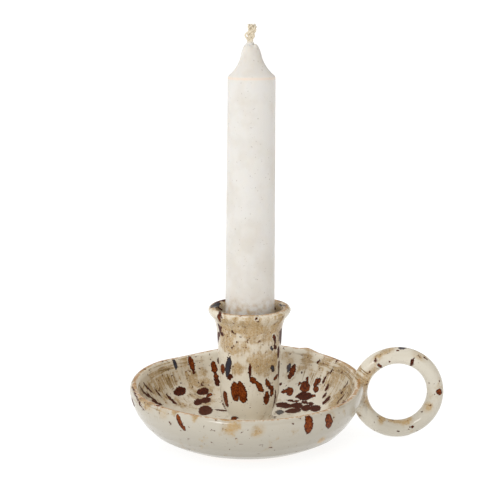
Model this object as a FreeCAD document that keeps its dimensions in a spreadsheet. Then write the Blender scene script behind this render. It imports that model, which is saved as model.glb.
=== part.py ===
import FreeCAD, Part
import math
import os
import Sketcher

# Glazed stoneware chamberstick with a finger loop, a dinner candle and its wick.
# Millimetres, +Z up, +X towards the finger loop, origin at the foot's centre on the table.

# Driving dimensions: alias, millimetres (degrees for the lean), meaning
SIZES = (
    ("foot_radius", 24.0, "outer radius of the flat unglazed foot"),
    ("foot_ring_width", 4.5, "width of the flat ring that the dish stands on"),
    ("foot_recess_depth", 1.3, "depth of the turned hollow under the foot"),
    ("rim_radius", 50.0, "radius of the circle along the top of the rim"),
    ("rim_height", 27.0, "mean height of the top of the rim"),
    ("rim_half_wall", 2.2, "half the thickness of the rounded rim"),
    ("floor_level", 6.5, "height of the dish's flat inner floor"),
    ("floor_radius", 26.0, "radius of the flat part of the inner floor"),
    ("socket_shift", 1.3, "how far the socket stands off the dish's centre"),
    ("neck_inset", 3.15, "how far the socket's neck stands in from its belly"),
    ("neck_rise", 5.7, "height of the straight neck above the floor"),
    ("belly_wall", 1.65, "how far the belly stands out from the bore"),
    ("belly_rise", 20.5, "height of the belly above the floor"),
    ("belly_curve", 23.0, "radius of the curve from neck to belly"),
    ("throat_wall", 3.0, "wall between the bore and the throat under the lip"),
    ("lip_flare", 3.4, "how far the lip stands out from the throat"),
    ("lip_rise", 54.1, "height of the lip's top above the floor"),
    ("lip_bead", 1.55, "radius of the lip's rounded edge"),
    ("flare_depth", 11.1, "depth of the throat below the lip's top"),
    ("flare_curve", 16.5, "radius of the hollow curve under the lip"),
    ("funnel_depth", 10.6, "depth of the mouth's funnel below the lip's top"),
    ("seat_rise", 26.5, "height of the ledge that the candle stands on"),
    ("ledge_width", 2.9, "width of that ledge"),
    ("pocket_taper", 2.7, "how much the hollow under the ledge narrows"),
    ("pocket_cone", 3.4, "height of the hollow's pointed bottom"),
    ("pocket_floor", 4.6, "clay between the hollow's bottom and the dish"),
    ("luting_width", 2.9, "width of the clay smoothed round the socket's foot"),
    ("luting_rise", 3.6, "height of that clay up the neck"),
    ("loop_radius", 17.0, "radius of the finger loop's centre line"),
    ("loop_coil_radius", 3.9, "radius of the rolled coil that forms the loop"),
    ("loop_offset", 0.36, "how far the coil's centre line stands outside the rim's circle"),
    ("loop_ground_gap", 0.3, "height of the loop's lowest point above the table"),
    ("root_spread", 2.2, "how far the clay at the loop's root spreads past the coil"),
    ("root_depth", 3.5, "half depth of that clay"),
    ("root_height", 7.6, "half height of that clay"),
    ("candle_radius", 11.1, "candle's radius at its base"),
    ("candle_length", 142.4, "candle's length from its base to its wax tip"),
    ("base_bevel", 0.6, "bevelled edge of the candle's base"),
    ("candle_taper", 0.8, "how much the candle narrows from its base to its shoulder"),
    ("shoulder_drop", 13.6, "depth of the shoulder below the wax tip"),
    ("shoulder_bevel", 0.5, "bevelled edge of the shoulder"),
    ("cone_curve", 15.0, "radius of the cone's hollow side"),
    ("cone_drop", 4.1, "depth of the cone's end below the wax tip"),
    ("cone_spread", 1.2, "how far the cone's end stands out from the wax tip"),
    ("tip_wall", 1.6, "wax round the wick at the tip"),
    ("tip_bevel", 0.9, "bevelled edge of the wax tip"),
    ("candle_lean", 0.40, "candle's lean towards the loop, in degrees"),
    ("bore_clearance", 0.5, "gap round the candle in the socket's bore"),
    ("seat_gap", 0.15, "gap under the leaning candle's base"),
    ("wick_radius", 1.5, "radius of the wick inside the wax"),
    ("wick_top_radius", 2.1, "radius of the wick's loosened end"),
    ("wick_exposed", 8.1, "length of wick above the wax"),
    ("wick_bend", 0.15, "how far the exposed wick bends over"),
)

# Dish outside, from the foot to the rim: share of the way out from the foot to the rim's
# widest circle, share of the rim's height, share of the rim's unevenness
OUTSIDE_SHARES = (
    (0.000, 0.000, 0.00),
    (0.143, 0.028, 0.00),
    (0.270, 0.063, 0.03),
    (0.500, 0.144, 0.10),
    (0.670, 0.251, 0.20),
    (0.804, 0.406, 0.38),
    (0.913, 0.583, 0.58),
    (0.982, 0.756, 0.78),
    (1.000, 0.900, 0.96),
)
# Rim's rounded top: share of the half wall out from the rim's circle, share of the half
# wall below the rim's top
BEAD_SHARES = (
    (0.72, 0.26),
    (0.00, 0.00),
    (-0.72, 0.30),
    (-1.06, 1.00),
)
# Dish inside, from the rim to the floor: share of the way in from the rim's inner edge to
# the flat floor, share of the way down, share of the rim's unevenness
INSIDE_SHARES = (
    (0.055, 0.24, 0.82),
    (0.145, 0.45, 0.60),
    (0.270, 0.655, 0.38),
    (0.440, 0.825, 0.18),
    (0.660, 0.940, 0.05),
    (0.850, 0.985, 0.00),
    (1.000, 1.000, 0.00),
)
# Uneven hand-formed rim: height above its mean, as shares of the rim's height, at equal
# steps round the dish from the finger loop over the back
RIM_LIFT_SHARES = (
    0.040, 0.062, 0.064, 0.092, 0.074, -0.002, -0.026, 0.004,
    -0.016, -0.036, -0.022, -0.036, -0.060, -0.054, -0.052, -0.030,
)

# Radii of the turned pieces, each a sum of the sizes that it follows
BORE = "candle_radius bore_clearance"
BELLY = BORE + " belly_wall"
NECK = BELLY + " -neck_inset"
THROAT = BORE + " throat_wall"
LIP = THROAT + " lip_flare"
POCKET = BORE + " -ledge_width"
SHOULDER = "candle_radius -candle_taper"
TIP = "wick_radius tip_wall"

doc = FreeCAD.newDocument("chamberstick")
sheet = doc.addObject("Spreadsheet::Sheet", "Sizes")


def fill_sheet():
    """Writes each driving dimension into the sheet under its alias."""
    for number, (alias, value, meaning) in enumerate(SIZES, start=1):
        sheet.set("A%d" % number, alias)
        sheet.set("B%d" % number, str(value))
        sheet.setAlias("B%d" % number, alias)
        sheet.set("C%d" % number, meaning)
    doc.recompute()


def size(alias):
    """A driving dimension, read from the sheet."""
    return float(getattr(sheet, alias))


def total(terms):
    """Sum of the sizes named in terms; a name after a minus sign is taken away."""
    amount = 0.0
    for term in terms.split():
        if term.startswith("-"):
            amount -= size(term[1:])
        else:
            amount += size(term)
    return amount


def formula(terms):
    """The same sum, written for an expression that the document keeps."""
    text = ""
    for term in terms.split():
        if term.startswith("-"):
            text += " - Sizes." + term[1:]
        else:
            text += " + Sizes." + term
    return text.strip(" +")


def bind(thing, prop, terms):
    """Ties a property to a sum of sizes."""
    thing.setExpression(prop, formula(terms))


def origin_plane(body, role):
    """One of the body's own origin planes."""
    for feature in body.Origin.OriginFeatures:
        if feature.Role == role:
            return feature
    raise RuntimeError("no plane " + role)


def new_body(label):
    """An empty body under the sub-part's name."""
    body = doc.addObject("PartDesign::Body", label)
    body.Label = label
    return body


def new_sketch(body, name, role):
    """A sketch on one of the body's origin planes."""
    sketch = body.newObject("Sketcher::SketchObject", name)
    sketch.AttachmentSupport = (origin_plane(body, role), [""])
    sketch.MapMode = "FlatFace"
    return sketch


def arc_edge(start, end, radius, side):
    """Arc between two points; side 1 bulges to the right of the way along, -1 to the left.

    Returns the arc and the numbers of the arc's ends that lie at start and at end.
    """
    chord = end - start
    middle = (start + end) * 0.5
    normal = FreeCAD.Vector(chord.y, -chord.x, 0).normalize()
    inset = math.sqrt(max(radius * radius - chord.Length * chord.Length / 4, 0))
    centre = middle - normal * inset * side
    circle = Part.Circle(centre, FreeCAD.Vector(0, 0, 1), radius)
    first = math.atan2(start.y - centre.y, start.x - centre.x)
    last = math.atan2(end.y - centre.y, end.x - centre.x)
    if side > 0:
        if last < first:
            last += 2 * math.pi
        return Part.ArcOfCircle(circle, first, last), 1, 2
    if first < last:
        first += 2 * math.pi
    return Part.ArcOfCircle(circle, last, first), 2, 1


def draw_profile(sketch, corners, arcs):
    """Closed outline through the corners, each bound to sums of sizes.

    arcs gives, for the edge that leaves a corner, the alias of its radius and its side.
    """
    points = [FreeCAD.Vector(total(across), total(up), 0) for across, up in corners]
    ends = []
    for index, start in enumerate(points):
        end = points[(index + 1) % len(points)]
        if index in arcs:
            alias, side = arcs[index]
            edge, at_start, at_end = arc_edge(start, end, size(alias), side)
            number = sketch.addGeometry(edge, False)
        else:
            number = sketch.addGeometry(Part.LineSegment(start, end), False)
            at_start, at_end = 1, 2
        ends.append((number, at_start, at_end))
    for index, (number, at_start, at_end) in enumerate(ends):
        before, unused, before_end = ends[index - 1]
        sketch.addConstraint(
            Sketcher.Constraint("Coincident", before, before_end, number, at_start))
    for index, (across, up) in enumerate(corners):
        number, at_start, at_end = ends[index]
        place_point(sketch, "across_%d" % index, "DistanceX", -2, number, at_start, across)
        place_point(sketch, "up_%d" % index, "DistanceY", -1, number, at_start, up)
    for index, (alias, side) in arcs.items():
        name = "curve_%d" % index
        constraint = Sketcher.Constraint("Radius", ends[index][0], size(alias))
        sketch.renameConstraint(sketch.addConstraint(constraint), name)
        bind(sketch, "Constraints." + name, alias)


def place_point(sketch, name, kind, axis, number, end, terms):
    """Holds one coordinate of a point: on the axis if terms is empty, else at their sum."""
    if not terms:
        sketch.addConstraint(Sketcher.Constraint("PointOnObject", number, end, axis))
        return
    constraint = Sketcher.Constraint(kind, -1, 1, number, end, total(terms))
    sketch.renameConstraint(sketch.addConstraint(constraint), name)
    bind(sketch, "Constraints." + name, terms)


def turned_body(label, corners, arcs):
    """A piece of revolution about its own upright axis, from half its outline."""
    body = new_body(label)
    sketch = new_sketch(body, label + "_outline", "XZ_Plane")
    draw_profile(sketch, corners, arcs)
    turning = body.newObject("PartDesign::Revolution", label + "_turning")
    turning.Profile = sketch
    turning.ReferenceAxis = (sketch, ["V_Axis"])
    turning.Angle = 360
    return body


def hoop(radius, height, unevenness):
    """Closed smooth curve round the dish that rises and falls with the uneven rim."""
    count = len(RIM_LIFT_SHARES)
    points = []
    for step, lift_share in enumerate(RIM_LIFT_SHARES):
        angle = 2 * math.pi * step / count
        lift = unevenness * lift_share * size("rim_height")
        place = FreeCAD.Vector(radius * math.cos(angle), radius * math.sin(angle), height + lift)
        points.append(place)
    curve = Part.BSplineCurve()
    curve.interpolate(Points=points, PeriodicFlag=True)
    return Part.Wire([curve.toShape()])


def dish_hoops():
    """Hoops up the outside of the dish, over its rounded rim and down to the flat floor."""
    foot = size("foot_radius")
    rim = size("rim_radius")
    height = size("rim_height")
    half = size("rim_half_wall")
    level = size("floor_level")
    floor = size("floor_radius")
    hoops = []
    for out_share, up_share, uneven_share in OUTSIDE_SHARES:
        radius = foot + out_share * (rim + half - foot)
        hoops.append(hoop(radius, up_share * height, uneven_share))
    for out_share, down_share in BEAD_SHARES:
        hoops.append(hoop(rim + out_share * half, height - down_share * half, 1))
    inner_radius = rim + BEAD_SHARES[-1][0] * half
    inner_height = height - BEAD_SHARES[-1][1] * half
    for in_share, down_share, uneven_share in INSIDE_SHARES:
        radius = inner_radius + in_share * (floor - inner_radius)
        hoops.append(hoop(radius, inner_height + down_share * (level - inner_height), uneven_share))
    return hoops


def make_dish():
    """Round dish with an uneven rim, and a turned hollow under its foot."""
    blank = doc.addObject("Part::Feature", "dish_blank")
    blank.Shape = Part.makeLoft(dish_hoops(), True, True)
    hollow = doc.addObject("Part::Cylinder", "foot_hollow")
    bind(hollow, "Radius", "foot_radius -foot_ring_width")
    bind(hollow, "Height", "foot_recess_depth")
    dish = doc.addObject("Part::Cut", "dish")
    dish.Base = blank
    dish.Tool = hollow
    return dish


def make_socket():
    """Tulip-shaped candle socket with a flared lip, a bore, a ledge and a hollow below it."""
    corners = (
        ("", ""),
        (NECK, ""),
        (NECK, "neck_rise"),
        (BELLY, "belly_rise"),
        (THROAT, "lip_rise -flare_depth"),
        (LIP, "lip_rise -lip_bead"),
        (LIP + " -lip_bead", "lip_rise"),
        (LIP + " -lip_bead -lip_bead", "lip_rise -lip_bead"),
        (BORE, "lip_rise -funnel_depth"),
        (BORE, "seat_rise"),
        (POCKET, "seat_rise"),
        (POCKET + " -pocket_taper", "pocket_floor pocket_cone"),
        ("", "pocket_floor"),
    )
    arcs = {
        2: ("belly_curve", 1),
        4: ("flare_curve", -1),
        5: ("lip_bead", 1),
        6: ("lip_bead", 1),
    }
    body = turned_body("candle_socket", corners, arcs)
    bind(body, "Placement.Base.x", "socket_shift")
    bind(body, "Placement.Base.z", "floor_level")
    return body


def make_socket_luting():
    """Coil of clay smoothed down to a sloping fillet round the socket's foot."""
    corners = (
        (NECK, ""),
        (NECK + " luting_width", ""),
        (NECK, "luting_rise"),
    )
    body = turned_body("socket_luting", corners, {})
    bind(body, "Placement.Base.x", "socket_shift")
    bind(body, "Placement.Base.z", "floor_level")
    return body


def loop_centre_terms():
    """Where the loop's centre lies: across from the dish's axis, and up from the table."""
    across = "rim_radius loop_offset loop_radius"
    up = "loop_ground_gap loop_coil_radius loop_radius"
    return across, up


def cut_away(name, base, tool):
    """What is left of one shape outside another."""
    cut = doc.addObject("Part::Cut", name)
    cut.Base = base
    cut.Tool = tool
    return cut


def make_finger_ring(dish):
    """Rolled coil bent to a ring and seated on the dish's wall and rim."""
    across, up = loop_centre_terms()
    coil = doc.addObject("Part::Torus", "ring_coil")
    bind(coil, "Radius1", "loop_radius")
    bind(coil, "Radius2", "loop_coil_radius")
    upright = FreeCAD.Rotation(FreeCAD.Vector(1, 0, 0), 90)
    coil.Placement = FreeCAD.Placement(FreeCAD.Vector(total(across), 0, total(up)), upright)
    bind(coil, "Placement.Base.x", across)
    bind(coil, "Placement.Base.z", up)
    return coil, cut_away("finger_ring", coil, dish)


def make_ring_luting(dish, coil):
    """Clay smoothed into the corner between the loop's root and the dish's wall."""
    across = "rim_radius loop_offset"
    up = loop_centre_terms()[1]
    lump = doc.addObject("Part::Ellipsoid", "root_lump")
    bind(lump, "Radius1", "root_height")
    bind(lump, "Radius2", "root_depth")
    bind(lump, "Radius3", "loop_coil_radius root_spread")
    bind(lump, "Placement.Base.x", across)
    bind(lump, "Placement.Base.z", up)
    corners = cut_away("lump_beside_coil", lump, coil)
    return cut_away("ring_luting", corners, dish)


def stand_on_seat(body):
    """Puts the candle or its wick on the socket's ledge, with the candle's lean."""
    lean = FreeCAD.Rotation(FreeCAD.Vector(0, 1, 0), size("candle_lean"))
    body.Placement = FreeCAD.Placement(FreeCAD.Vector(0, 0, 0), lean)
    bind(body, "Placement.Rotation.Angle", "candle_lean")
    bind(body, "Placement.Base.x", "socket_shift")
    bind(body, "Placement.Base.z", "floor_level seat_rise seat_gap")


def make_candle():
    """Dinner candle that tapers slightly, with a hollow cone and the wick's hole through it."""
    corners = (
        ("wick_radius", ""),
        ("candle_radius -base_bevel", ""),
        ("candle_radius", "base_bevel"),
        (SHOULDER, "candle_length -shoulder_drop -shoulder_bevel"),
        (SHOULDER + " -shoulder_bevel", "candle_length -shoulder_drop"),
        (TIP + " cone_spread", "candle_length -cone_drop"),
        (TIP, "candle_length -tip_bevel"),
        (TIP + " -tip_bevel", "candle_length"),
        ("wick_radius", "candle_length"),
    )
    body = turned_body("candle", corners, {4: ("cone_curve", -1)})
    stand_on_seat(body)
    return body


def make_wick():
    """Cotton wick through the whole candle; its bare end bends over and loosens."""
    body = new_body("wick")
    core_ring = new_sketch(body, "wick_core_ring", "XY_Plane")
    draw_circle(core_ring, "", "wick_radius")
    core = body.newObject("PartDesign::Pad", "wick_core")
    core.Profile = core_ring
    bind(core, "Length", "candle_length")
    doc.recompute()
    rings = []
    for number, (rise, bend, radius) in enumerate((
            ("candle_length", "", "wick_radius"),
            ("candle_length wick_exposed", "wick_bend", "wick_top_radius"))):
        ring = new_sketch(body, "wick_end_ring_%d" % number, "XY_Plane")
        bind(ring, "AttachmentOffset.Base.z", rise)
        draw_circle(ring, bend, radius)
        rings.append(ring)
    bare_end = body.newObject("PartDesign::AdditiveLoft", "wick_bare_end")
    bare_end.Profile = rings[0]
    bare_end.Sections = rings[1:]
    body.Tip = bare_end
    stand_on_seat(body)
    return body


def draw_circle(sketch, across, radius):
    """Circle on the sketch's own X axis."""
    centre = FreeCAD.Vector(total(across), 0, 0)
    circle = Part.Circle(centre, FreeCAD.Vector(0, 0, 1), size(radius))
    number = sketch.addGeometry(circle, False)
    place_point(sketch, "across", "DistanceX", -2, number, 3, across)
    place_point(sketch, "up", "DistanceY", -1, number, 3, "")
    constraint = Sketcher.Constraint("Radius", number, size(radius))
    sketch.renameConstraint(sketch.addConstraint(constraint), "radius")
    bind(sketch, "Constraints.radius", radius)


def check_and_export(parts):
    """Stops on any failed object or bad shape, then writes one file for each sub-part."""
    for thing in doc.Objects:
        if "Invalid" in thing.State or "Error" in thing.State:
            raise RuntimeError("failed: " + thing.Name + " " + str(thing.State))
    for part in parts:
        if part.Shape.isNull() or not part.Shape.isValid():
            raise RuntimeError("bad shape: " + part.Label)
        if part.Shape.Volume <= 0:
            raise RuntimeError("empty shape: " + part.Label)
    os.makedirs("parts", exist_ok=True)
    for part in parts:
        part.Shape.exportStep(os.path.join("parts", part.Label + ".step"))
        print("%-14s %2d solid %9.1f mm3" % (part.Label, len(part.Shape.Solids), part.Shape.Volume))


fill_sheet()
dish = make_dish()
socket = make_socket()
socket_luting = make_socket_luting()
ring_coil, finger_ring = make_finger_ring(dish)
ring_luting = make_ring_luting(dish, ring_coil)
candle = make_candle()
wick = make_wick()
doc.recompute()
check_and_export((dish, socket, socket_luting, finger_ring, ring_luting, candle, wick))
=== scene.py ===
import math
import random
from functools import partial

import bmesh
import bpy
import numpy as np
from bpy.props import FloatProperty, FloatVectorProperty, IntProperty, PointerProperty
from mathutils import Matrix, Vector, noise
from mathutils.bvhtree import BVHTree


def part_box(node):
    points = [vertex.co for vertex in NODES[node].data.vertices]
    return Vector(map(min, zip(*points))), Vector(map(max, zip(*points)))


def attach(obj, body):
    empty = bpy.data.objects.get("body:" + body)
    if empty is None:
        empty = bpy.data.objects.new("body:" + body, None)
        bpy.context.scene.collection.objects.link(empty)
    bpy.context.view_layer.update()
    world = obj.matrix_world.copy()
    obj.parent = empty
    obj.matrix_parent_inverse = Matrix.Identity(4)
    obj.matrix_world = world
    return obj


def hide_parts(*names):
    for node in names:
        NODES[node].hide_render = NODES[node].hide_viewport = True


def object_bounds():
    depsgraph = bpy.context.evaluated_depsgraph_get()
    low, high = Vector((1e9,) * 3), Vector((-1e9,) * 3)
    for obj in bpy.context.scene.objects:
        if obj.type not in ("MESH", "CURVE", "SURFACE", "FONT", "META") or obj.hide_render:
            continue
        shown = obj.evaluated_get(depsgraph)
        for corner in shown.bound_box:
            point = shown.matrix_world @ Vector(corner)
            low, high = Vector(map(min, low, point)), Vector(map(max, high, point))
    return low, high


# Glazed stoneware chamberstick: the fired skin over its clay pieces, the wax candle, its braided
# wick and a plain studio. Metres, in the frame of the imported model.

bl_info = {
    "name": "Stoneware chamberstick",
    "version": (1, 0, 0),
    "blender": (4, 5, 0),
    "location": "View3D > Sidebar > Chamberstick",
    "description": "Glazed stoneware, wax, cotton wick and studio for the chamberstick",
    "category": "Object",
}

MM = 0.001

# The photograph's camera: a pinhole fitted to the rim, the lip and the finger loop
PHOTO_SIDE_PX = 500
FOCAL_PX = 1268.4
CAMERA_PLACE = Vector((1.5, -543.5, 197.7)) * MM
CAMERA_PITCH = math.radians(11.61)
SENSOR = 36.0

# Glaze marks measured in the photograph, in pixels: centre across, centre down, half
# length, half width, and the lean of the long side from upright in degrees (to the right)
RUST_MARKS_PX = (
    (191.6, 363.5, 7.6, 3, -16), (213.9, 367.6, 6.6, 3, -12), (216.4, 378.8, 7, 2.6, -12),
    (225.4, 399, 8.6, 2.1, -9), (234.9, 391.3, 10.3, 4.3, -4), (241.7, 392.2, 11.4, 4.9, -12),
    (222.4, 369.2, 5.4, 2.1, -4), (253.3, 380.2, 4.6, 3, -45), (259.8, 387.4, 6.2, 2.9, -35),
    (268.9, 385, 6.6, 2.4, -25), (266.7, 398.4, 6.6, 3.1, 5), (272.2, 391, 5.4, 1.8, 6),
    (234.4, 418.2, 3.8, 1.8, 80), (218.9, 318.1, 5.4, 1.6, -10), (292.3, 371.2, 8.2, 2.9, 20),
    (284.6, 391.6, 3.6, 2, 80), (289.6, 391.8, 4.6, 3.7, 10), (304.9, 387.2, 5.8, 5, 0),
    (307.4, 379.4, 3.4, 1.5, 10), (317, 382.2, 5.2, 2.7, 35), (316.2, 389.6, 3.6, 2.8, 20),
    (296.8, 400.9, 3, 1.1, 85), (180.5, 423.2, 9.3, 2.1, -28), (308.9, 425.2, 9.8, 4.3, 5),
    (329, 421.8, 7.6, 3.7, 0), (220.2, 313.5, 3.6, 1.3, -14), (274.6, 337.6, 3.6, 1.5, -12),
    (299.6, 383.6, 2.6, 1.4, 30), (297, 396.5, 2.4, 1.3, 60), (313, 396, 2.8, 1.6, 70),
    (209, 395.5, 3.4, 1.6, 60), (398, 350.7, 1.8, 0.9, 90), (375.5, 360.7, 2.2, 1.6, 90),
    (380.2, 366, 3.2, 1.7, -40), (389.6, 361.8, 1.4, 0.7, -20), (439.5, 392.1, 3.2, 2.8, 0),
    (411.1, 426.9, 2.4, 1.2, 80), (398.3, 431.3, 0.9, 0.8, 0), (256.5, 319.2, 1.4, 1.2, 0),
    (269.3, 313, 1.1, 0.9, 0), (276, 377.4, 3.8, 1.4, 30),
)
DARK_MARKS_PX = (
    (193.6, 371.8, 2.8, 1.6, -18), (217.2, 383, 4, 2.6, -12), (179.7, 391.6, 6.2, 4.7, 75),
    (203, 391.4, 6.1, 3.8, 80), (198, 402.4, 4.2, 3.5, 70), (205.8, 400.4, 5.4, 3.2, 85),
    (205.4, 410.8, 7.1, 4.8, 85), (171, 399.4, 7.4, 1.2, -46), (156.6, 402.8, 6.2, 1, -63),
    (143.9, 392.3, 9.9, 0.9, -43), (147.5, 388, 8, 0.8, -44), (152.5, 363.3, 1.3, 0.7, 80),
    (162.5, 361.7, 1.2, 0.7, 80), (142.3, 366.5, 1.2, 0.7, 60), (203, 382.5, 1.2, 0.7, 20),
    (221.4, 410.3, 6.4, 0.9, -85), (224, 405.5, 9, 0.7, -24), (229.6, 376.8, 3.2, 2.8, 60),
    (250.1, 371.2, 7.4, 1.6, -3), (253.9, 353.4, 1, 0.8, 0), (232, 331.8, 1.6, 1.2, 40),
    (221.4, 333.8, 1.8, 0.9, -10), (221, 327.8, 1.8, 0.9, -10), (217.6, 347.4, 8.4, 1.2, 0),
    (219.6, 328, 5, 1.2, -14), (218, 338, 6, 1, 4), (222.6, 334.2, 2.2, 1, -20),
    (275.2, 346.8, 2.6, 1.6, -20), (278.6, 352, 6, 1.2, 3), (270.5, 304.8, 2, 0.9, 60),
    (276.5, 298.2, 3.2, 0.9, -75), (224.8, 300, 3.4, 0.9, 75), (220, 308.8, 2.6, 0.8, -60),
    (272.8, 308.6, 1.8, 0.8, 30), (134.2, 392, 6, 0.6, -20), (137, 398, 7, 0.6, -32),
    (140.5, 405.5, 6.5, 0.6, -40), (150.5, 396.5, 8, 0.7, -46), (158, 393, 5, 0.6, -40),
    (133, 402, 4.5, 0.5, -18), (331, 372, 4, 0.6, 32), (346, 385, 5, 0.6, 36),
    (340.5, 399, 6, 0.6, 44), (324.5, 395.5, 3.4, 1.2, 36), (291, 401, 4, 1.2, -80),
    (305, 402.5, 3.6, 1.4, -75), (281, 335.9, 8.4, 1.2, 3), (275, 340.4, 3.6, 1.2, 5),
    (278.9, 369.7, 9.2, 0.7, 2), (280.4, 383.8, 2, 1.3, 80), (275, 399, 9.2, 0.7, 9),
    (218.9, 301.2, 5.4, 0.9, 65), (281, 300.6, 6.6, 1.1, -70), (274.6, 308.5, 1.5, 1.1, 20),
    (304.4, 396.2, 7.7, 4.5, 88), (283.8, 405.6, 8.2, 3, -85), (296.8, 405.6, 6.4, 2.8, -88),
    (293, 411, 8.2, 2.4, 85), (306, 408.2, 4.4, 3.2, 80), (315.4, 408.4, 6, 3.4, 85),
    (311, 403.7, 2.7, 2, 80), (324.2, 380.2, 4.8, 1.1, 30), (327.1, 387.6, 4.6, 1.2, 25),
    (326.5, 400.3, 5.8, 1.7, 42), (342, 392.2, 2.2, 0.7, 40), (318.2, 361.8, 2.2, 1, 40),
    (336.8, 360.7, 2, 0.9, 60), (301.8, 372.7, 0.9, 0.7, 0), (170, 423.3, 2.6, 0.8, -30),
    (412.2, 362.6, 4.8, 1.8, 20), (425.8, 358.4, 2.4, 0.5, -50),
)
SLATE_MARKS_PX = (
    (175.1, 364, 5.8, 1.7, -17), (227.9, 367.2, 10.6, 3, 7), (272.6, 368.4, 3.8, 2.1, -8),
    (215.4, 305.4, 4.4, 2.6, 80), (282.2, 305.4, 2.9, 0.9, -85), (288.9, 368, 5.4, 1.7, 16),
    (402.3, 347.6, 3.8, 1.1, 90), (279.8, 412.2, 4.2, 2.4, 85), (271.8, 348.4, 2.2, 1.3, -20),
)
TAN_CLOUDS_PX = (
    (229, 324, 11, 9, 0), (247, 325, 15, 10, 80), (258.5, 337, 14, 7.5, -75),
    (228, 341, 9, 8, 0), (277, 322, 9, 7, 0), (276.5, 338, 9, 5, 0),
    (238.5, 350.5, 9, 6.5, 40), (258.6, 364, 12, 10.5, 0), (272.6, 358.5, 12, 5.5, 0),
    (236.8, 368.5, 6, 5.5, 0), (229.9, 428, 8.5, 7.5, 80), (257.8, 431.4, 8, 5.6, 55),
    (163, 413.1, 6, 5, 0), (174.4, 412.6, 3, 2.6, 0), (195, 415.6, 4, 2.2, 85),
    (321.9, 440.1, 5, 2.4, 45), (331, 416.6, 5.5, 4.5, 0), (306.5, 362, 9, 5, 20),
    (310.4, 373.3, 6, 2.2, 15), (320.8, 368.1, 6.6, 2.6, 15), (329, 358.4, 7, 4, 70),
    (346, 393, 15, 4, 38), (338, 404, 14, 4, 48), (372, 371.6, 6, 3.6, 40),
    (381.4, 419.2, 4.2, 3.6, 0), (408, 419.8, 5.2, 3.4, 90), (427, 407.7, 5, 4.6, 0),
    (366.8, 395.1, 13, 3.6, -6), (389, 349.5, 7, 3, 70), (377, 357, 9, 3.2, 45),
    (385, 374.5, 7, 2.4, 55), (366.5, 380, 8, 3.6, 18), (421, 353, 8, 2.2, -60),
    (395, 421, 9, 2.4, -80), (143, 404, 10, 4, -45),
)
WALL_CLOUDS_PX = (
    (158, 378, 24, 16, 40), (185, 372, 26, 15, 80), (203, 384, 20, 16, 0),
    (160, 395, 26, 12, -50), (212, 398, 16, 12, 0), (190, 404, 20, 9, 85),
    (340, 371, 17, 8, 45), (332, 389, 15, 8, 38), (288, 360, 8, 6, 0),
)

# Uneven stretches of the rim: angle from +X and half width in degrees, and rise
RIM_RISES = ((143, 11, 0.45 * MM), (54.5, 4.5, 1.1 * MM), (-90, 60, 0.15 * MM))

# From the dish's axis: the socket ends within the first, and the dish within the last
SOCKET_REACH = 20 * MM
RIM_RADIUS = 50 * MM
DISH_REACH = 54 * MM
LIP_BEAD = 1.55 * MM

# A mark's largest half length, how far off its plane the skin may lie, the distance from an edge
# that counts as far, and a pixel's size for a mark that is seen edge on
MARK_REACH = 8 * MM
MARK_DEPTH = 2.6 * MM
FAR_FROM_MARKS = 6 * MM
PIXEL_SIZE = 0.4 * MM

# Noises of the glaze and of the wax: size of a grain in millimetres, detail and roughness
GLAZE_NOISES = ((1.7, 3.0, 0.6), (0.7, 3.0, 0.65), (11, 2.0, 0.5), (6, 4.0, 0.62))
WAX_NOISES = ((14, 3.0, 0.6), (0.9, 2.0, 0.5), (3.5, 4.0, 0.7))
SMOOTH = {"interpolation_type": "SMOOTHSTEP"}

# How far the foot of the wax cone and a thin warm line painted round the wax lie below the wax's top
CONE_DROP = 13.6 * MM
WARM_LINE_DROP = 14.6 * MM

STRANDS = 3
YARNS = 4
YARN_STEPS = 64
PLAIT_TURNS = 1.2
YARN_TURNS = 1.6
FIRST_SWELL = 0.75
LAST_SWELL = 1.75
HAIRS = 70
HAIR_RADII = (0.09 * MM, 0.08 * MM, 0.06 * MM, 0.03 * MM)

# Radii of the wick's core in the wax, in 12 equal steps, and of its end above the wax
CORE_STEPS = 12
CORE_RADII = [1.44 * MM] * CORE_STEPS + [1.5 * MM, 0.9 * MM, 0.6 * MM, 0.3 * MM]
CORE_END_RISES = (0.5 * MM, 1.1 * MM, 1.7 * MM)

# The stray yarn: across and deep from the wick's middle, and up from the wax, in millimetres
STRAY_RADIUS = 0.4 * MM
STRAY_COURSE = (
    (-0.4, -0.5, 1.2), (-1.2, -0.9, 1.5), (-1.9, -1.1, 2.2), (-2.5, -1.0, 3.1), (-2.3, -0.9, 3.9),
    (-1.8, -0.9, 4.3), (-1.3, -0.8, 4.9), (-1.5, -0.6, 5.7), (-1.8, -0.5, 6.6), (-1.9, -0.3, 7.6))

# The studio: half the floor's side, its level just under the foot, which way the white ceiling
# lies, each lamp's place and width, and where the lamps aim
FLOOR_REACH = 30.0
FLOOR_LEVEL = -0.02 * MM
CEILING_WAY = (-0.4, -0.05, 0.92)
LAMPS = (("key", (-0.35, -0.85, 0.42), 0.28), ("fill", (0.8, -0.35, 0.4), 0.5))
LAMP_AIM = Vector((0, 0, 0.06))

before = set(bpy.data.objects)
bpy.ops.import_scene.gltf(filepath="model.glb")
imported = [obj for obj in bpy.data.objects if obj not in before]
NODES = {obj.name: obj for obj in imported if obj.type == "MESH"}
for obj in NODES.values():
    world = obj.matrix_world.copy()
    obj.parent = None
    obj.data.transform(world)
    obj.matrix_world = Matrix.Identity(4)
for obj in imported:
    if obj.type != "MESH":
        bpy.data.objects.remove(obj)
CAD_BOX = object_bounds()


def to_linear(text):
    """Linear red, green and blue of an sRGB hex value."""
    parts = [int(text[place:place + 2], 16) / 255 for place in (1, 3, 5)]
    return [part / 12.92 if part <= 0.04045 else ((part + 0.055) / 1.055) ** 2.4 for part in parts]


def colour(name, description, text):
    """A colour that a user may change, given as an sRGB hex value."""
    return FloatVectorProperty(
        name=name, description=description, subtype="COLOR", size=3, min=0, max=1,
        default=to_linear(text))


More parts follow.
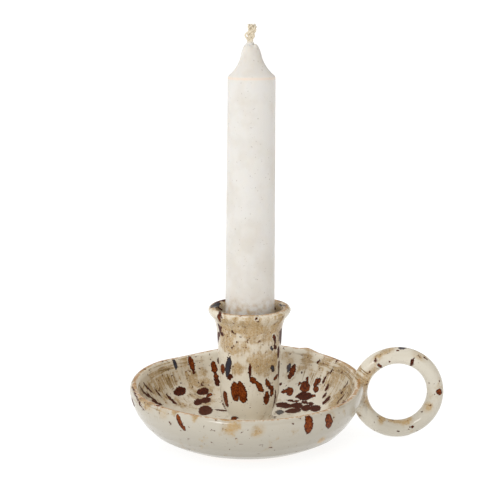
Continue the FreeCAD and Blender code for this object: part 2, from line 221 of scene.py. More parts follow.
def length(name, description, millimetres):
    """A length that a user may change, given in millimetres."""
    return FloatProperty(
        name=name, description=description, default=millimetres * MM, subtype="DISTANCE",
        unit="LENGTH", precision=5)


def brightness(name, description, value, unit="NONE"):
    """A light's strength or power that a user may change."""
    return FloatProperty(name=name, description=description, default=value, unit=unit)


class StonewareSettings(bpy.types.PropertyGroup):
    """Sizes and colours of the fired clay and its glaze."""
    grain: length("Grain", "Side of the skin's even quads", 0.6)
    softening: IntProperty(
        name="Softening", description="Rounds of smoothing, as glaze softens edges", default=6)
    unevenness: length("Unevenness", "Depth of the dents that hands leave", 0.25)
    dent_width: length("Dent width", "Width of those dents", 14)
    glaze_bead: length("Glaze bead", "Glaze gathered on the socket's lip", 0.5)
    ragged: length("Ragged edge", "How far a mark's edge wanders", 0.55)
    milky: colour("Milky glaze", "Glaze where it is clean", "#e6dfcf")
    cool: colour("Cool glaze", "Glaze where it lies thick", "#d9d4c6")
    tan: colour("Tan glaze", "Glaze over iron wash", "#ab8a52")
    olive: colour("Olive glaze", "Darker streaks in the tan glaze", "#755a2c")
    amber: colour("Amber glaze", "Glaze that breaks on a crest", "#a9793f")
    rust: colour("Rust", "Iron marks", "#5c2405")
    bright_rust: colour("Bright rust", "Orange grains in the iron marks", "#8c4515")
    dark: colour("Dark", "Dark marks", "#331004")
    slate: colour("Slate", "Blue-black middle of some marks", "#30333e")
    # Painted shade: the dish's outside darkens to this colour towards the foot, the loop towards its
    # bottom
    thin: colour("Thin glaze", "Outside of the foot, where the glaze ran thin over grey clay", "#938d80")
    bare: colour("Bare clay", "Unglazed clay under the foot", "#b79c7c")


class CandleSettings(bpy.types.PropertyGroup):
    """Sizes and colours of the wax and the wick."""
    grain: length("Grain", "Side of the wax skin's even quads", 0.45)
    wax: colour("Wax", "Paraffin wax", "#dad8d4")
    shade: colour("Shaded wax", "Cloudy parts of the wax", "#d3cfc8")
    # Partly stain, partly a painted reflection of the socket's tan glaze in the wax beside its lip
    stain_and_reflection: colour("Stain", "Wax stained by use beside the socket's lip", "#b59c78")
    # A thin warm peach line painted round the wax just under the cone's foot
    blush: colour("Blush", "Warm line where the mould's two parts met", "#e9cdb4")
    soot: colour("Soot", "Dark specks on the wax", "#897c70")
    cotton: colour("Cotton", "Unbleached cotton", "#e8dcc4")
    strand: length("Strand", "Radius of one strand of the wick", 0.62)
    yarn: length("Yarn", "Radius of one yarn in a strand", 0.34)


class StudioSettings(bpy.types.PropertyGroup):
    """Floor and lights."""
    floor: colour("Floor", "Plain pale floor", "#959595")
    daylight: colour("Daylight", "Colour of the white ceiling", "#fffefc")
    dusk: colour("Dusk", "Colour of the dim room opposite", "#ffecd4")
    glow: brightness("Glow", "Light of the lit board itself", 0.84)
    sky: brightness("Sky", "Strength of the white ceiling", 1.12)
    room: brightness("Room", "Strength of the dim room opposite", 0.12)
    key: brightness("Key", "Power of the large light", 2.0, unit="POWER")
    fill: brightness("Fill", "Power of the side light", 0.1, unit="POWER")


def new_object(name, mesh):
    """An object of that mesh in the scene."""
    made = bpy.data.objects.new(name, mesh)
    bpy.context.scene.collection.objects.link(made)
    return made


def add_node(tree, kind, inputs, **settings):
    """Adds one shader node: its settings, then its inputs by name or in order. Each input is a
    value, an output, or a node that stands for the first of its outputs in use."""
    made = tree.nodes.new("ShaderNode" + kind)
    for name, value in settings.items():
        setattr(made, name, value)
    named = inputs if isinstance(inputs, dict) else dict(enumerate(inputs))
    for key, value in named.items():
        socket = made.inputs[key]
        if isinstance(value, bpy.types.Node):
            value = next(output for output in value.outputs if output.enabled)
        if isinstance(value, bpy.types.NodeSocket):
            tree.links.new(value, socket)
        elif socket.type == "RGBA":
            socket.default_value = (*value, 1.0)
        else:
            socket.default_value = value
    return made


def new_material(name):
    """An empty node material, and what adds a node to its tree."""
    material = bpy.data.materials.new(name)
    material.use_nodes = True
    material.node_tree.nodes.clear()
    return material, partial(add_node, material.node_tree)


def stacked(add, colour_below, *coats):
    """The colour that is left when each coat, a mask and its colour, covers the ones below it."""
    for mask, coat in coats:
        colour_below = add("Mix", {0: mask, 6: colour_below, 7: coat}, data_type="RGBA")
    return colour_below


def surfaced(add, inputs):
    """Ends a material's tree with its surface."""
    add("OutputMaterial", {"Surface": add("BsdfPrincipled", inputs)})


def ramp(values, start, end):
    """0 up to the start and 1 from the end on, both given in millimetres."""
    return np.clip((values - start * MM) / ((end - start) * MM), 0, 1)


def points_of(mesh, kind="co"):
    """Place, or normal, of each of the mesh's points, as an array."""
    flat = np.empty(len(mesh.vertices) * 3, np.float32)
    mesh.vertices.foreach_get(kind, flat)
    return flat.reshape(-1, 3).astype(float)


def move_points(mesh, places):
    """Puts the mesh's points at those places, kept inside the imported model's box."""
    low, high = (np.array(corner) for corner in CAD_BOX)
    places = np.clip(places, low, high)
    mesh.vertices.foreach_set("co", places.astype(np.float32).ravel())
    mesh.update()


def gathered(names):
    """The meshes of those nodes, in one."""
    together = bmesh.new()
    for name in names:
        together.from_mesh(NODES[name].data)
    return together


def even_skin(names, label, grain, softening):
    """Closed, softened skin over the nodes, of even quads."""
    together = gathered(names)
    rough_mesh = bpy.data.meshes.new(label + "_rough")
    together.to_mesh(rough_mesh)
    together.free()
    rough = new_object(label + "_rough", rough_mesh)
    even = rough.modifiers.new("even_quads", "REMESH")
    even.mode = "VOXEL"
    even.voxel_size = grain
    soften = rough.modifiers.new("softened", "SMOOTH")
    soften.factor = 0.5
    soften.iterations = softening
    seen = rough.evaluated_get(bpy.context.evaluated_depsgraph_get())
    mesh = bpy.data.meshes.new_from_object(seen)
    mesh.name = label
    bpy.data.objects.remove(rough)
    return mesh


def dent(mesh, depth, width, seed):
    """Presses soft dents of that depth into the skin, all of them inwards."""
    places = points_of(mesh)
    shift = Vector((seed, seed * 0.7, seed * 1.3))
    waves = np.array([noise.noise(Vector(place) / width + shift) for place in places])
    lowered = places - points_of(mesh, "normal") * (depth * (0.5 + 0.5 * waves))[:, None]
    flat = places[:, 2] < 1.5 * MM
    lowered[flat] = places[flat]
    move_points(mesh, lowered)


def off_lip(places, drop):
    """How far each place lies from the circle in the socket's lip that is so far below its top."""
    low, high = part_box("candle_socket")
    middle = (low + high) / 2
    from_socket = np.hypot(places[:, 0] - middle.x, places[:, 1] - middle.y)
    return np.hypot(from_socket - high.y + LIP_BEAD, places[:, 2] - high.z + drop)


def fill_crests(mesh, glaze_bead):
    """Lets the glaze gather on the socket's lip, and the dish's rim rise as the hand left it."""
    places = points_of(mesh)
    bead = glaze_bead * ramp(off_lip(places, LIP_BEAD), 3.6, 1.8)
    places += points_of(mesh, "normal") * bead[:, None]
    x, y, z = places.T
    from_axis = np.hypot(x, y)
    angle = np.degrees(np.arctan2(y, x))
    on_wall = ramp(z, 16, 26) * ramp(from_axis, 38, 43) * (np.abs(angle) > 20)
    for middle_angle, half_width, rise in RIM_RISES:
        z += on_wall * rise * np.exp(-((angle - middle_angle) / half_width) ** 2)
    move_points(mesh, places)


class SeenSkin:
    """The fired skin, and the rays on which the photograph's camera sees it."""

    def __init__(self, mesh):
        self.places = points_of(mesh)
        self.normals = points_of(mesh, "normal")
        self.tree = BVHTree.FromPolygons(
            [Vector(place) for place in self.places],
            [tuple(face.vertices) for face in mesh.polygons])
        turn = Matrix.Rotation(math.pi / 2 - CAMERA_PITCH, 3, "X")
        self.right = turn @ Vector((1, 0, 0))
        self.up = turn @ Vector((0, 1, 0))
        self.ahead = turn @ Vector((0, 0, -1))

    def ray(self, across, down):
        """Direction through a pixel."""
        middle = PHOTO_SIDE_PX / 2
        aim = self.ahead * FOCAL_PX + self.right * (across - middle) + self.up * (middle - down)
        return aim.normalized()

    def on_plane(self, across, down, point, normal):
        """Where a pixel's ray meets the plane, or None where it runs beside it."""
        aim = self.ray(across, down)
        facing = aim.dot(normal)
        if abs(facing) < 0.03:
            return None
        return CAMERA_PLACE + aim * ((point - CAMERA_PLACE).dot(normal) / facing)

    def round_axis(self):
        """Distance of each point from the dish's axis, and how far its normal faces away from it."""
        x, y = self.places.T[:2]
        across = np.hypot(x, y)
        return across, (x * self.normals[:, 0] + y * self.normals[:, 1]) / (across + 1e-9)


def mark_from_pixels(skin, mark):
    """A mark's middle, normal, long half and short half on the skin, or None if it misses."""
    across, down, long_half, short_half, lean = mark
    middle, normal = skin.tree.ray_cast(CAMERA_PLACE, skin.ray(across, down))[:2]
    if middle is None:
        return None
    turn = math.radians(lean)
    halves = []
    for reach, sideways, upwards in (
            (long_half, math.sin(turn), math.cos(turn)),
            (short_half, math.cos(turn), -math.sin(turn))):
        tip = skin.on_plane(across + reach * sideways, down - reach * upwards, middle, normal)
        half = (tip - middle) if tip else Vector((0, 0, reach * PIXEL_SIZE))
        if half.length > MARK_REACH:
            half = half * (MARK_REACH / half.length)
        halves.append(half)
    return middle, normal, halves[0], halves[1]


def seen_marks(skin, marks):
    """The photograph's marks on the skin, without those that miss it."""
    laid = [mark_from_pixels(skin, mark) for mark in marks]
    return [mark for mark in laid if mark]


def hidden_marks(skin, seed, wanted, count, shortest, longest):
    """Marks like the photograph's, on the sides that it doesn't show."""
    chance = random.Random(seed)
    marks = []
    tries = 0
    while len(marks) < count and tries < count * 60:
        tries += 1
        index = chance.randrange(len(skin.places))
        middle = Vector(skin.places[index])
        normal = Vector(skin.normals[index])
        if not wanted(middle, normal):
            continue
        hit = skin.tree.ray_cast(CAMERA_PLACE, (middle - CAMERA_PLACE).normalized())[0]
        if hit and (hit - middle).length < 2 * MM:
            continue
        down = Vector((0, 0, -1)) - normal * -normal.z
        if down.length < 0.2:
            outwards = Vector((middle.x, middle.y, 0))
            down = outwards - normal * outwards.dot(normal)
        down = Matrix.Rotation(chance.uniform(-0.5, 0.5), 3, normal) @ down.normalized()
        long_half = chance.uniform(shortest * MM, longest * MM)
        short_half = long_half * chance.uniform(0.35, 0.8)
        marks.append((middle, normal, down * long_half, normal.cross(down) * short_half))
    return marks


def reached(skin, mark):
    """The points that a mark can reach, their distance from its edge, which is below 0 inside it,
    and how far out they lie as a share of the way from its middle to its edge."""
    middle, normal, long_half, short_half = (np.array(part) for part in mark)
    reach = np.linalg.norm(long_half) + np.linalg.norm(short_half) + FAR_FROM_MARKS
    away = skin.places - middle
    near = (np.abs(away).max(axis=1) < reach) & (np.abs(away @ normal) < MARK_DEPTH)
    near &= skin.normals @ normal > 0.15
    chosen = np.nonzero(near)[0]
    halves = np.array([long_half, short_half])
    duals = np.linalg.inv(halves @ halves.T) @ halves
    shares = away[chosen] @ duals.T
    spread = np.linalg.norm(shares, axis=1) + 1e-6
    slope = np.linalg.norm((shares / spread[:, None]) @ duals, axis=1)
    return chosen, (spread - 1) / np.maximum(slope, 1e-6), spread


def lay_marks(field, skin, marks):
    """Keeps in field the distance to the nearest of the marks."""
    for mark in marks:
        chosen, distance = reached(skin, mark)[:2]
        field[chosen] = np.minimum(field[chosen], distance)


def lay_clouds(field, skin, marks, strength):
    """Raises field by that strength in the middle of each soft cloud, and less towards its edge."""
    for mark in marks:
        chosen, spread = reached(skin, mark)[::2]
        rise = np.clip((1.7 - spread) / 1.5, 0, 1)
        rise = strength * rise * rise * (3 - 2 * rise)
        field[chosen] = np.minimum(field[chosen] + rise, 1)


def is_inside(middle, normal):
    """Whether a place faces into the dish or lies on the socket."""
    across = Vector((middle.x, middle.y, 0))
    if across.length < SOCKET_REACH:
        return middle.z > 7 * MM
    facing = normal.dot(across.normalized())
    return across.length < RIM_RADIUS and facing < 0.1 and middle.z > 6 * MM


def is_outside(middle, normal):
    """Whether a place lies on the dish's hull, outside."""
    across = Vector((middle.x, middle.y, 0))
    return 26 * MM < across.length < 53 * MM and normal.dot(across.normalized()) > 0.3


def is_loop(middle, normal):
    """Whether a place lies on the finger loop."""
    return middle.x > DISH_REACH


# Each kind of mark: those in the photograph, and those to draw for its hidden sides, which are
# where, how many, and their least and greatest half length in millimetres
MARK_KINDS = (
    ("rust", RUST_MARKS_PX, (
        (is_inside, 38, 1.2, 4.2), (is_outside, 9, 1.6, 4.0), (is_loop, 9, 0.5, 1.5))),
    ("dark", DARK_MARKS_PX, (
        (is_inside, 38, 0.6, 3.2), (is_outside, 5, 0.6, 1.4), (is_loop, 6, 0.5, 1.4))),
    ("slate", SLATE_MARKS_PX, ((is_inside, 9, 0.8, 3.0), (is_loop, 2, 0.5, 1.2))),
)
HIDDEN_CLOUDS = ((is_inside, 40, 4, 9), (is_outside, 12, 2.5, 5), (is_loop, 6, 1.5, 3))


def glaze_fields(mesh):
    """The glaze's fields at each point: distance to each kind of mark, and shares of its coats."""
    skin = SeenSkin(mesh)
    fields = {}
    for seed, (name, pixels, hidden) in enumerate(MARK_KINDS, start=3):
        marks = seen_marks(skin, pixels)
        for number, draw in enumerate(hidden):
            marks += hidden_marks(skin, seed * 10 + number, *draw)
        fields[name] = np.full(len(skin.places), FAR_FROM_MARKS)
        lay_marks(fields[name], skin, marks)
    tan = tan_wash(skin)
    lay_clouds(tan, skin, seen_marks(skin, TAN_CLOUDS_PX), 1.0)
    lay_clouds(tan, skin, seen_marks(skin, WALL_CLOUDS_PX), 0.5)
    for number, draw in enumerate(HIDDEN_CLOUDS):
        lay_clouds(tan, skin, hidden_marks(skin, 70 + number, *draw), 0.95)
    fields["tan"] = tan
    fields["crest"] = crest_tops(skin)
    fields["thin"] = painted_low_shade(skin)
    fields["band"] = rim_band(skin)
    return fields


def tan_wash(skin):
    """The even part of the tan: strong up the dish's inner wall and under the socket's lip."""
    x, z = skin.places.T[::2]
    across, facing = skin.round_axis()
    inner = (across > 18 * MM) & (across < 51 * MM) & (facing < 0.15) & (z > 6 * MM)
    sideways = np.abs(x) / (across + 1e-9)
    wall = (0.2 + 0.25 * ramp(z, 8, 24)) * (0.25 + 0.75 * sideways ** 1.5)
    funnel = (z > 49 * MM) & (facing < 0.3)
    socket = (across < SOCKET_REACH) & (z > 9 * MM)
    return np.where(socket, 0.12 + 0.36 * ramp(z, 24, 54) + 0.45 * funnel, np.where(inner, wall, 0.0))


def painted_low_shade(skin):
    """Painted shade, darker low down: least at the rim, most round the foot, on the dish's outside only,
    and on the finger loop more low down than at its top.
    """
    x, z = skin.places.T[::2]
    across, facing = skin.round_axis()
    in_dish = across < DISH_REACH
    outside = np.clip((facing - 0.05) / 0.5, 0, 1) * (across > 22 * MM) * in_dish
    outside = np.maximum(outside, (z < 6 * MM) & (skin.normals[:, 2] < 0) & in_dish)
    thin = outside * (0.5 + 0.5 * ramp(z, 27, 3)) * ramp(z, 33, 28)
    on_loop = ramp(x, 50, 60)
    return thin * (1 - on_loop) + (0.25 + 0.3 * ramp(z, 34, 4)) * on_loop


def rim_band(skin):
    """Where the glaze ran down the wall in fine lines, left and right in the dish."""
    x, z = skin.places.T[::2]
    across, facing = skin.round_axis()
    outside = facing > 0.4
    climb = ramp(z - np.where(outside, 19 * MM, 12 * MM), 0, 7)
    wall = climb * ramp(across, 32, 39) * (across < DISH_REACH)
    sideways = np.clip((np.abs(x) / (across + 1e-9) - 0.4) / 0.35, 0, 1)
    return wall * sideways * np.where(outside, np.where(x > 0, 0.3, 0.75), 1.0)


def crest_tops(skin):
    """1 along the tops of the dish's rim and the socket's lip, 0 away from them."""
    x, y, z = skin.places.T
    from_axis = np.hypot(x, y)
    angle = np.arctan2(y, x)
    slots = 180
    slot = ((angle / (2 * math.pi) + 0.5) * slots).astype(int) % slots
    on_rim = (from_axis > 46 * MM) & (from_axis < 52.5 * MM) & (np.abs(angle) > 0.12)
    tops = np.zeros(slots)
    np.maximum.at(tops, slot[on_rim], z[on_rim])
    tops[tops == 0] = 28 * MM
    off_rim = np.hypot(from_axis - RIM_RADIUS, z - tops[slot])
    return ramp(np.minimum(off_lip(skin.places, 0), off_rim), 2.6, 0)


def drawn_out(add, outwards, turns, place, stretch, roughness):
    """Noise drawn out into streaks, so fine round the dish and so fine along the place."""
    round_place = add("VectorMath", (outwards, (turns, turns, turns)), operation="MULTIPLY")
    along_place = add("VectorMath", (place, stretch), operation="MULTIPLY")
    streak_place = add("VectorMath", (round_place, along_place), operation="ADD")
    return add("TexNoise", {
        "Vector": streak_place, "Scale": 1.0, "Detail": 3.0, "Roughness": roughness})


def glaze_material(settings):
    """Reactive tin-white glaze over iron wash, dipped and fired: a thick glossy skin that stays
    milky where it is clean, breaks to tan in streaks, and bleeds rust and blue-black marks."""
    material, add = new_material("speckled_tin_glaze")
    place = add("TexCoord", ()).outputs["Object"]
    tan_field, band_field, crest_field, painted_shade_field, rust_field, dark_field, slate_field = (
        add("Attribute", (), attribute_name=name).outputs["Fac"]
        for name in ("tan", "band", "crest", "thin", "rust", "dark", "slate"))
    ragged_noise, fine_noise, broad_noise, patches = (
        add("TexNoise", {
            "Vector": place, "Scale": 1 / (size * MM), "Detail": detail, "Roughness": roughness})
        for size, detail, roughness in GLAZE_NOISES)

    # Streaks run down the walls: narrow round the dish, long down its slope
    flat_place = add("VectorMath", (place, (1.0, 1.0, 0.0)), operation="MULTIPLY")
    outwards = add("VectorMath", (flat_place,), operation="NORMALIZE")
    streaks = drawn_out(add, outwards, 11.0, place, (110.0, 110.0, 150.0), 0.55)

    # High on the wall the glaze ran down in fine lines, which follow the rim just under it
    from_axis = add("VectorMath", (flat_place,), operation="LENGTH")
    level = add("SeparateXYZ", (place,)).outputs["Z"]
    climbed = add("Math", (level, 1.5, from_axis), operation="MULTIPLY_ADD")
    ring_height = add("CombineXYZ", {"Z": climbed})
    down_runs = drawn_out(add, outwards, 40.0, place, (45.0, 45.0, 70.0), 0.6)
    ring_runs = drawn_out(add, outwards, 2.6, ring_height, (0.0, 0.0, 1 / (2.2 * MM)), 0.6)
    under_rim = add("MapRange", (level, 19 * MM, 23.5 * MM))
    runs = add("Mix", {0: under_rim, 2: down_runs, 3: ring_runs})
    run_lines = add("MapRange", (runs, 0.57, 0.66, 0.0, 0.85))
    lines = add("Math", (run_lines, band_field), operation="MULTIPLY")

    # The tan is patchy and streaky, and lies in those lines where they are
    loose = add("Math", (patches, 3.0, -2.0), operation="MULTIPLY_ADD")
    spread = add("Math", (streaks, loose), operation="ADD")
    tan_patchy = add("Math", (tan_field, spread), operation="ADD")
    run_push = add("Math", (runs, 4.4, -2.15), operation="MULTIPLY_ADD")
    tan_run = add("Math", (run_push, band_field, tan_patchy), operation="MULTIPLY_ADD")
    tan_sharp = add("MapRange", (tan_run, 0.22, 1.05, 0.0, 0.95), **SMOOTH)
    tan_base = add("MapRange", (tan_field, 0.12, 0.7, 0.0, 0.34))
    tan_share = add("Math", (tan_sharp, tan_base), operation="MAXIMUM")
    grainy = add("MapRange", (fine_noise, 0.36, 0.64, 0.62, 1.0))
    tan_grain = add("Math", (tan_share, grainy), operation="MULTIPLY")
    olive_share = add("MapRange", (streaks, 0.48, 0.7, 0.0, 0.5))
    tan_colour = add("Mix", {0: olive_share, 6: settings.tan, 7: settings.olive}, data_type="RGBA")

    # The glaze runs thin on a crest and shows amber there, in broken stretches
    crest_broken = add("Math", (crest_field, ragged_noise), operation="MULTIPLY")
    crest_mask = add("MapRange", (crest_broken, 0.25, 0.5, 0.0, 0.8), **SMOOTH)

    # Marks have ragged edges. Rust has a pale halo outside and a dark outline
    wander, fray = (
        add("MapRange", (grain, 0.25, 0.75, -reach, reach), clamp=False)
        for grain, reach in ((ragged_noise, settings.ragged), (fine_noise, settings.ragged * 0.5)))
    ragged = add("Math", (wander, fray), operation="ADD")
    rust_edge, dark_edge, slate_edge = (
        add("Math", (field, ragged), operation="ADD")
        for field in (rust_field, dark_field, slate_field))
    halo, rust_mask, outline, dark_mask, slate_mask = (
        add("MapRange", (edge, start * MM, end * MM, low, high), **SMOOTH)
        for edge, start, end, low, high in (
            (rust_edge, 0.1, 1.1, 0.6, 0.0), (rust_edge, -0.12, 0.12, 1.0, 0.0),
            (rust_edge, -0.9, -0.1, 0.0, 0.9), (dark_edge, -0.15, 0.2, 1.0, 0.0),
            (slate_edge, -0.15, 0.2, 1.0, 0.0)))
    grains = add("MapRange", (fine_noise, 0.39, 0.55))
    clots = add("MapRange", (ragged_noise, 0.5, 0.64, 0.0, 0.8))
    darker = add("Math", (outline, clots), operation="MAXIMUM")
    rust_colour = stacked(
        add, settings.bright_rust, (grains, settings.rust), (darker, settings.dark))

    # Dark marks: near black, with rust showing through their middle; slate marks: blue-black
    glints = add("MapRange", (fine_noise, 0.44, 0.62, 0.1, 0.95))
    dark_colour = add("Mix", {0: glints, 6: settings.dark, 7: settings.rust}, data_type="RGBA")
    tan_specks = add("Math", (tan_sharp, 0.06, ragged_noise), operation="MULTIPLY_ADD")
    specks = add("MapRange", (tan_specks, 0.665, 0.695, 0.0, 0.9))
    dark_parts = add("Math", (dark_mask, specks), operation="MAXIMUM")
    slate_heart = add("MapRange", (slate_edge, -0.8 * MM, -0.1 * MM, 1.0, 0.0))
    slate_colour = add("Mix", {0: slate_heart, 6: settings.dark, 7: settings.slate}, data_type="RGBA")

    # Painted shade darkens the clean glaze low on the dish's outside and on the loop's lower part
    clean = stacked(
        add, settings.cool, (broad_noise, settings.milky), (painted_shade_field, settings.thin))
    fired = stacked(
        add, clean, (tan_grain, tan_colour), (lines, settings.olive), (crest_mask, settings.amber),
        (halo, clean), (rust_mask, rust_colour), (dark_parts, dark_colour), (slate_mask, slate_colour))

    # Marks full of iron are drier than the glaze round them
    iron = add("Math", (rust_mask, dark_parts), operation="MAXIMUM")
    roughness = add("MapRange", (iron, 0.0, 1.0, 0.17, 0.4))
    gloss = add("MapRange", (iron, 0.0, 1.0, 0.5, 0.12))
    ripple = add("Bump", {"Height": broad_noise, "Strength": 0.35, "Distance": 0.6 * MM})
    orange_peel = add("Bump", {
        "Height": ragged_noise, "Strength": 0.12, "Distance": 0.15 * MM, "Normal": ripple})
    surfaced(add, {
        "Base Color": fired, "Roughness": roughness, "Normal": orange_peel, "IOR": 1.46,
        "Specular IOR Level": gloss})
    return material


def bare_material(settings):
    """Stoneware body, turned and wiped clean of glaze: dry, toasted and finely gritty."""
    material, add = new_material("turned_bare_stoneware")
    place = add("TexCoord", ()).outputs["Object"]
    grit = add("TexNoise", {
        "Vector": place, "Scale": 1 / (0.5 * MM), "Detail": 4.0, "Roughness": 0.7})
    toasted = add("Mix", {0: grit, 6: settings.bare, 7: settings.tan}, data_type="RGBA")
    bump = add("Bump", {"Height": grit, "Strength": 0.5, "Distance": 0.1 * MM})
    surfaced(add, {"Base Color": toasted, "Roughness": 0.85, "Normal": bump})
    return material


def wax_material(settings):
    """Dipped and pressed paraffin: light sinks a few millimetres in, over a satin surface."""
    material, add = new_material("pressed_paraffin_wax")
    place = add("TexCoord", ()).outputs["Object"]
    height = add("SeparateXYZ", (place,)).outputs["Z"]
    clouds, pores, blotches = (
        add("TexNoise", {
            "Vector": place, "Scale": 1 / (size * MM), "Detail": detail, "Roughness": roughness})
        for size, detail, roughness in WAX_NOISES)
    cloudy = add("MapRange", (clouds, 0.42, 0.62))

    # A warm line under the cone; beside the socket's lip, stain and painted reflection of its tan glaze
    above_warm_line, above_lip = (
        add("Math", (height, level), operation="SUBTRACT")
        for level in (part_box("candle")[1].z - WARM_LINE_DROP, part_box("candle_socket")[1].z))
    off_warm_line, beside_lip = (
        add("Math", (above,), operation="ABSOLUTE") for above in (above_warm_line, above_lip))
    blush = add("MapRange", (off_warm_line, 0.1 * MM, 0.9 * MM, 0.85, 0.0), **SMOOTH)
    near_lip = add("MapRange", (beside_lip, 7.5 * MM, 0.5 * MM))
    blotchy = add("MapRange", (blotches, 0.44, 0.66, 0.0, 0.8))
    # The blotches beside the lip are stain with painted reflection of the tan socket
    blushed, stain_and_reflection_share = (
        add("Math", pair, operation="MULTIPLY") for pair in ((blush, clouds), (near_lip, blotchy)))
    specks = add("MapRange", (pores, 0.31, 0.25, 0.0, 0.6))
    tint = stacked(
        add, settings.wax, (cloudy, settings.shade), (blushed, settings.blush),
        (stain_and_reflection_share, settings.stain_and_reflection), (specks, settings.soot))

    pits = add("MapRange", (pores, 0.24, 0.32))
    soft = add("Bump", {"Height": clouds, "Strength": 0.2, "Distance": 0.5 * MM})
    pitted = add("Bump", {
        "Height": pits, "Strength": 0.4, "Distance": 0.1 * MM, "Normal": soft})
    surfaced(add, {
        "Base Color": tint, "Roughness": 0.38, "IOR": 1.44, "Subsurface Weight": 0.5,
        "Subsurface Radius": (1.0, 0.8, 0.6), "Subsurface Scale": 2 * MM, "Normal": pitted})
    return material


def cotton_material(settings):
    """Braided unbleached cotton: matt, with darker gaps between its yarns."""
    material, add = new_material("braided_cotton")
    place = add("TexCoord", ()).outputs["Object"]
    height = add("SeparateXYZ", (place,)).outputs["Z"]
    fibres = add("TexNoise", {
        "Vector": place, "Scale": 1 / (0.35 * MM), "Detail": 3.0, "Roughness": 0.6})
    shade = add("MapRange", (fibres, 0.3, 0.7, 0.72, 1.0))
    worn = add(
        "Mix", {0: 1.0, 6: settings.cotton, 7: shade}, data_type="RGBA", blend_type="MULTIPLY")
    wax_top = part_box("candle")[1].z
    soaked = add("MapRange", (height, wax_top - 0.4 * MM, wax_top + 1.2 * MM, 1.0, 0.0))
    waxed = add("Mix", {0: soaked, 6: worn, 7: settings.wax}, data_type="RGBA")
    bump = add("Bump", {"Height": fibres, "Strength": 0.6, "Distance": 0.08 * MM})
    surfaced(add, {"Base Color": waxed, "Roughness": 0.9, "Sheen Weight": 0.3, "Normal": bump})
    return material


def nearest_group(mesh, groups):
    """For each face of the mesh, the number of the group of nodes whose surface is nearest."""
    trees = []
    for names in groups:
        together = gathered(names)
        trees.append(BVHTree.FromBMesh(together))
        together.free()
    numbers = np.empty(len(mesh.polygons), int)
    for face in mesh.polygons:
        gaps = [tree.find_nearest(face.center)[3] for tree in trees]
        numbers[face.index] = gaps.index(min(gaps))
    return numbers


def cut_piece(mesh, name, chosen, fields):
    """Closed piece of the skin from the chosen faces, with the glaze's fields and soft shading."""
    faces = [tuple(mesh.polygons[int(number)].vertices) for number in np.nonzero(chosen)[0]]
    used = np.unique([corner for face in faces for corner in face])
    renumber = {int(old): new for new, old in enumerate(used)}
    piece = bpy.data.meshes.new(name)
    piece.from_pydata(
        [tuple(place) for place in points_of(mesh)[used]], [],
        [tuple(renumber[corner] for corner in face) for face in faces])
    closing = bmesh.new()
    closing.from_mesh(piece)
    border = [edge for edge in closing.edges if edge.is_boundary]
    bmesh.ops.holes_fill(closing, edges=border, sides=0)
    wide = [face for face in closing.faces if len(face.verts) > 4]
    bmesh.ops.triangulate(closing, faces=wide)
    closing.to_mesh(piece)
    closing.free()
    for label, field in fields.items():
        layer = piece.attributes.new(label, "FLOAT", "POINT")
        layer.data.foreach_set("value", field[used].astype(np.float32))
    piece.shade_smooth()
    normals = points_of(mesh, "normal")[used]
    piece.normals_split_custom_set_from_vertices([tuple(normal) for normal in normals])
    return new_object(name, piece)


def tip_lean(heights):
    """How far the wax cone and the wick bend to the left at these heights."""
    above_cone_foot = heights - (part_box("candle")[1].z - CONE_DROP)
    return -0.42 * MM * np.clip(above_cone_foot / CONE_DROP, 0, 1.4)


def shape_wax_tip(mesh):
    """Lets the wax stand in two lobes beside the wick and sink to a notch in front of it."""
    places = points_of(mesh)
    x, y, z = places.T
    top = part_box("candle")[1].z
    middle = (places[z > top - 3 * MM]).mean(axis=0)
    rise = ramp(z - top, -3.2, -0.6) ** 1.5
    angle = np.arctan2(y - middle[1], x - middle[0])
    notch = np.exp(-((angle + 1.35) / 0.55) ** 2)
    lobes = np.cos(angle - 0.25) ** 2
    z += rise * (0.25 * lobes - 0.5 * notch - 0.55) * MM
    y += rise * notch * 0.5 * MM
    x += tip_lean(z)
    move_points(mesh, places)


def tube(shape, path, radii, sides=7):
    """Adds a closed round tube along a path, with one radius for each of its points."""
    rings = []
    side = Vector((1, 0, 0))
    for number, point in enumerate(path):
        ahead = path[min(number + 1, len(path) - 1)] - path[max(number - 1, 0)]
        ahead.normalize()
        side = (side - ahead * side.dot(ahead)).normalized()
        other = ahead.cross(side)
        rings.append([
            shape.verts.new(point + (side * math.cos(turn) + other * math.sin(turn)) * radii[number])
            for turn in (2 * math.pi * step / sides for step in range(sides))])
    for lower, upper in zip(rings, rings[1:]):
        for step in range(sides):
            after = (step + 1) % sides
            shape.faces.new((lower[step], lower[after], upper[after], upper[step]))
    shape.faces.new(rings[0][::-1])
    shape.faces.new(rings[-1])


def rounded(points, steps):
    """A smooth path through the points, with so many steps from one to the next."""
    path = []
    for number in range(len(points) - 1):
        before = points[max(number - 1, 0)]
        after = points[min(number + 2, len(points) - 1)]
        first, second = points[number], points[number + 1]
        for step in range(steps):
            share = step / steps
            path.append(
                first + (second - before) * 0.5 * share
                + (before * 2 - first * 5 + second * 4 - after) * 0.5 * share ** 2
                + (first * 3 - before - second * 3 + after) * 0.5 * share ** 3)
    return path


class WickAxis:
    """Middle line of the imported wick: its place at any height."""

    def __init__(self):
        places = points_of(NODES["wick"].data)
        levels = np.unique(np.round(places[:, 2], 5))
        rings = [places[np.abs(places[:, 2] - level) < 0.02 * MM] for level in levels]
        rings = [ring for ring in rings if len(ring) > 5]
        self.across, self.deep, self.heights = (
            [ring[:, axis].mean() for ring in rings] for axis in range(3))

    def at(self, height):
        """The middle of the wick at that height."""
        return Vector((
            np.interp(height, self.heights, self.across) + tip_lean(height),
            np.interp(height, self.heights, self.deep), height))


